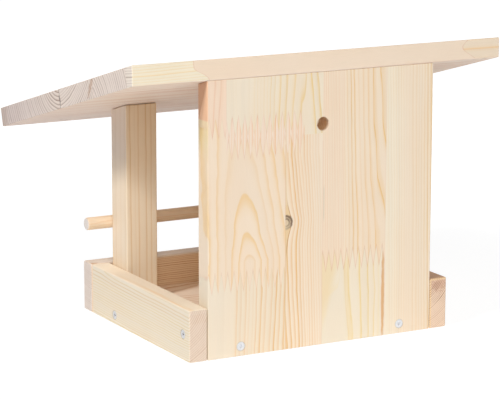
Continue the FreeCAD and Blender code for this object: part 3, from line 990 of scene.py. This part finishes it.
finishWood("right_side_rail", "near rail pine", nearRail, layOutNearRail)
finishWood("left_side_rail", "far rail pine", farRail, layOutFarRail)
finishWood("front_rail", "front rail pine", frontRail)
finishWood("floor_board", "floor pine", floorBoard)
print("tray finished")


# posts and perch rod; the post's lines are places across its rear face, and below nothing they go on round
# the corner, over the face that looks outwards
post = {
    "axes": ((-1, 0, 0), (0, -1, 0), (0, 0, -1)), "ends": ((234, 214, 192), (206, 172, 142)),
    "pieces": [{"sharp": 1.1, "early": (250, 231, 204), "late": (228, 188, 124)}],
    "turn": -0.8,
    "lines": {"span": (-28, 34), "levels": (0, 190), "gain": 1.35, "rows": (
        (-26, -24, 0.3), (-18, -19, 0.12), (-10, -11, 0.12), (-3, -2.6, 0.2), (3.6, 4.9, 0.5),
        (8.8, 9.4, 0.12), (12, 12.4, 0.42), (20.2, 20.5, 0.5), (25.4, 25.7, 0.35), (31.2, 31.4, 0.5),
    )},
    # painted shade of the roof: the face that looks outwards is greyer above and a little greyer below that,
    # and the rear face is darker near its top
    "patches": (
        {"tint": (232, 231, 240), "across": (0.8, 0.2), "depth": (0.2, 0.8), "along": (78, 40)},
        {"tint": (243, 236, 228), "depth": (0.8, 0.2), "along": (95, 45)},
        {"tint": (248, 247, 249), "across": (0.8, 0.2), "depth": (0.2, 0.8), "along": (40, 78)},
    ),
}
perchRod = {
    "axes": ((0, 0, -1), (0, -1, 0), (-1, 0, 0)), "ends": ((240, 231, 224), (206, 190, 178)),
    "pieces": [{"pithAcross": 18.0, "pithDepth": 20.0, "ring": 1.4, "taper": -0.4, "wobble": 0.5,
                "sharp": 0.8, "early": (244, 222, 194), "late": (236, 201, 162)}],
}
postLines = makeDrawnLines("post lines", post["lines"])


def layOutPost(sheet, board, position):
    across, depth, along = position.parts()
    lines = sheet.group(postLines, {"Across": depth * board["turn"] + across, "Along": along})
    return {"drawn": {"Drawn": 1.0, "Drawn Count": lines["Count"], "Drawn Strength": lines["Strength"]}}


for node in ("right_post", "left_post"):
    finishWood(node, node.replace("_", " ") + " pine", post, layOutPost)
finishWood("perch_rod", "rod pine", perchRod)
print("posts and rod finished")


zinc = {
    "dark": (208, 208, 210), "pale": (228, 228, 231), "metallic": 0.6, "roughness": (0.3, 0.5),
    "mottle": 900.0, "grain": 4200.0, "bump": 0.3, "bumpHeight": 0.00004,
    "recess": (0.00015, 0.0006),        # metres under the flat face of a head
    # the way each row of heads faces and the colour painted into its driver recess: painted light that makes
    # the recess pale in the back board, painted shade that darkens it in the rails
    "faces": {
        "back_board_screws": ((0, 1, 0), (252, 252, 254)),
        "right_rail_screws": ((1, 0, 0), (150, 145, 137)),
        "left_rail_screws": ((-1, 0, 0), (150, 145, 137)),
        "front_rail_screws": ((0, -1, 0), (170, 168, 164)),
    },
}


def finishScrews(node):
    # bright plated steel, a little mottled; the recess begins just under the flat face of the heads
    axis, recessColour = zinc["faces"].get(node, ((0, 0, 1), zinc["dark"]))
    material, sheet = newMaterial(node.replace("_", " ") + " zinc")
    place = sheet.named("ShaderNodeTexCoord")["Object"]
    mottle = place.noise(detail=3.0, scale=zinc["mottle"])
    face = max(Vector(axis).dot(corner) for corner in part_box(node))
    colour = sheet.blend(mottle, paint(*zinc["dark"]), paint(*zinc["pale"]))
    # the recess takes its row's painted light or painted shade
    colour = sheet.blend((face - sheet.dot(place, axis)).step(*zinc["recess"]), colour, paint(*recessColour))
    bump = sheet.take("ShaderNodeBump", {
        "Strength": zinc["bump"], "Distance": zinc["bumpHeight"], "Height": place.noise(scale=zinc["grain"])})
    sheet.shader({
        "Base Color": colour, "Metallic": zinc["metallic"], "Roughness": mottle.spread(*zinc["roughness"]),
        "Normal": bump})
    finish(node, material)


for node in nodes:
    if node.endswith("_screws"):
        finishScrews(node)
print("screws finished")


# studio: white sweep of floor, even white surroundings, one key lamp from the left and three wide fills
studio = {
    "ambient": 0.14,
    # the floor: metres, its colour for the light it throws back, and how it is seen itself
    "floorSize": 16.0, "floorDrop": 0.0002, "floorColour": (0.79, 0.82, 0.86), "floorSeen": 0.2,
    "floorRoughness": 0.9, "floorGlow": (0.9, 1.0), "floorFade": (0.3, 0.8),
    "tableGlow": 0.34, "tableReach": (0.3, 0.85),
    # lamp: direction to it from the middle of the picture, distance, size and power
    "lamps": (
        ("key lamp", (0.695, 0.186, 0.695), 3.2, 0.5, 47.5),
        ("right fill", (-0.416, 0.893, 0.174), 2.4, 1.6, 10.2),
        ("camera fill", (0.296, 0.814, 0.5), 2.4, 1.6, 23.2),
        ("front fill", (-0.25, -0.75, 0.61), 2.4, 1.6, 5.0),
    ),
}
camera = {
    "target": (0.074019, 0.145503, 0.141029), "distance": 2.03179,
    "yaw": math.radians(28.7062), "pitch": math.radians(11.7401), "roll": math.radians(0.0846),
    "focalPixels": 2310.01, "picture": 500.0, "sensor": 36.0, "clipEnd": 50.0,
}


def seenPlainly(sheet):
    # 1 for what the camera sees, by itself or in metal and glass
    path = sheet.named("ShaderNodeLightPath")
    return path["Is Camera Ray"].atLeast(path["Is Glossy Ray"]).atLeast(path["Is Transmission Ray"])


def makeFloor():
    half = studio["floorSize"] / 2.0
    corners = [(x * half, y * half, -studio["floorDrop"]) for x, y in ((-1, -1), (1, -1), (1, 1), (-1, 1))]
    mesh = bpy.data.meshes.new("studio floor")
    mesh.from_pydata(corners, [], [(0, 1, 2, 3)])
    floor = bpy.data.objects.new("studio_floor", mesh)
    bpy.context.scene.collection.objects.link(floor)
    material, sheet = newMaterial("pale floor")
    seen = seenPlainly(sheet)
    radius = sheet.length(sheet.named("ShaderNodeTexCoord")["Object"])
    glowSeen = radius.step(*studio["floorFade"]).lerp(*studio["floorGlow"])
    glowTable = radius.fade(*studio["tableReach"]) * studio["tableGlow"]
    sheet.shader({
        "Base Color": sheet.blend(seen, studio["floorColour"] + (1.0,), (studio["floorSeen"],) * 3 + (1.0,)),
        "Roughness": studio["floorRoughness"], "Specular IOR Level": 0.0,
        "Emission Color": (1.0, 1.0, 1.0, 1.0), "Emission Strength": seen.lerp(glowTable, glowSeen),
    })
    mesh.materials.append(material)


def makeSurroundings():
    world = bpy.data.worlds.new("studio")
    bpy.context.scene.world = world
    world.use_nodes = True
    world.node_tree.nodes.clear()
    sheet = NodeSheet(world.node_tree)
    background = sheet.take("ShaderNodeBackground", {
        "Color": (1.0, 1.0, 1.0, 1.0), "Strength": seenPlainly(sheet).lerp(studio["ambient"], 1.0)})
    sheet.add("ShaderNodeOutputWorld", {"Surface": background})


def makeLamp(name, direction, distance, size, power):
    light = bpy.data.lights.new(name, "AREA")
    light.shape = "DISK"
    light.size = size
    light.energy = power
    lamp = bpy.data.objects.new(name, light)
    toLamp = Vector(direction).normalized()
    lamp.location = Vector(camera["target"]) + toLamp * distance
    lamp.rotation_euler = toLamp.to_track_quat("Z", "Y").to_euler()
    bpy.context.scene.collection.objects.link(lamp)


def makeCamera():
    yaw, pitch, roll = camera["yaw"], camera["pitch"], camera["roll"]
    back = Vector((math.sin(yaw) * math.cos(pitch), math.cos(yaw) * math.cos(pitch), math.sin(pitch)))
    right = (-back).cross(Vector((0.0, 0.0, 1.0))).normalized()
    up = right.cross(-back)
    turnedRight = right * math.cos(roll) + up * math.sin(roll)
    turnedUp = up * math.cos(roll) - right * math.sin(roll)
    data = bpy.data.cameras.new("photo view")
    data.sensor_width = camera["sensor"]
    data.lens = camera["focalPixels"] / camera["picture"] * camera["sensor"]
    data.clip_end = camera["clipEnd"]
    made = bpy.data.objects.new("photo_view", data)
    turn = Matrix((turnedRight, turnedUp, back)).transposed().to_4x4()
    made.matrix_world = Matrix.Translation(Vector(camera["target"]) + back * camera["distance"]) @ turn
    bpy.context.scene.collection.objects.link(made)
    bpy.context.scene.camera = made


makeFloor()
makeSurroundings()
for lampSettings in studio["lamps"]:
    makeLamp(*lampSettings)
makeCamera()
bpy.context.scene.view_settings.view_transform = "Standard"
print("studio made")
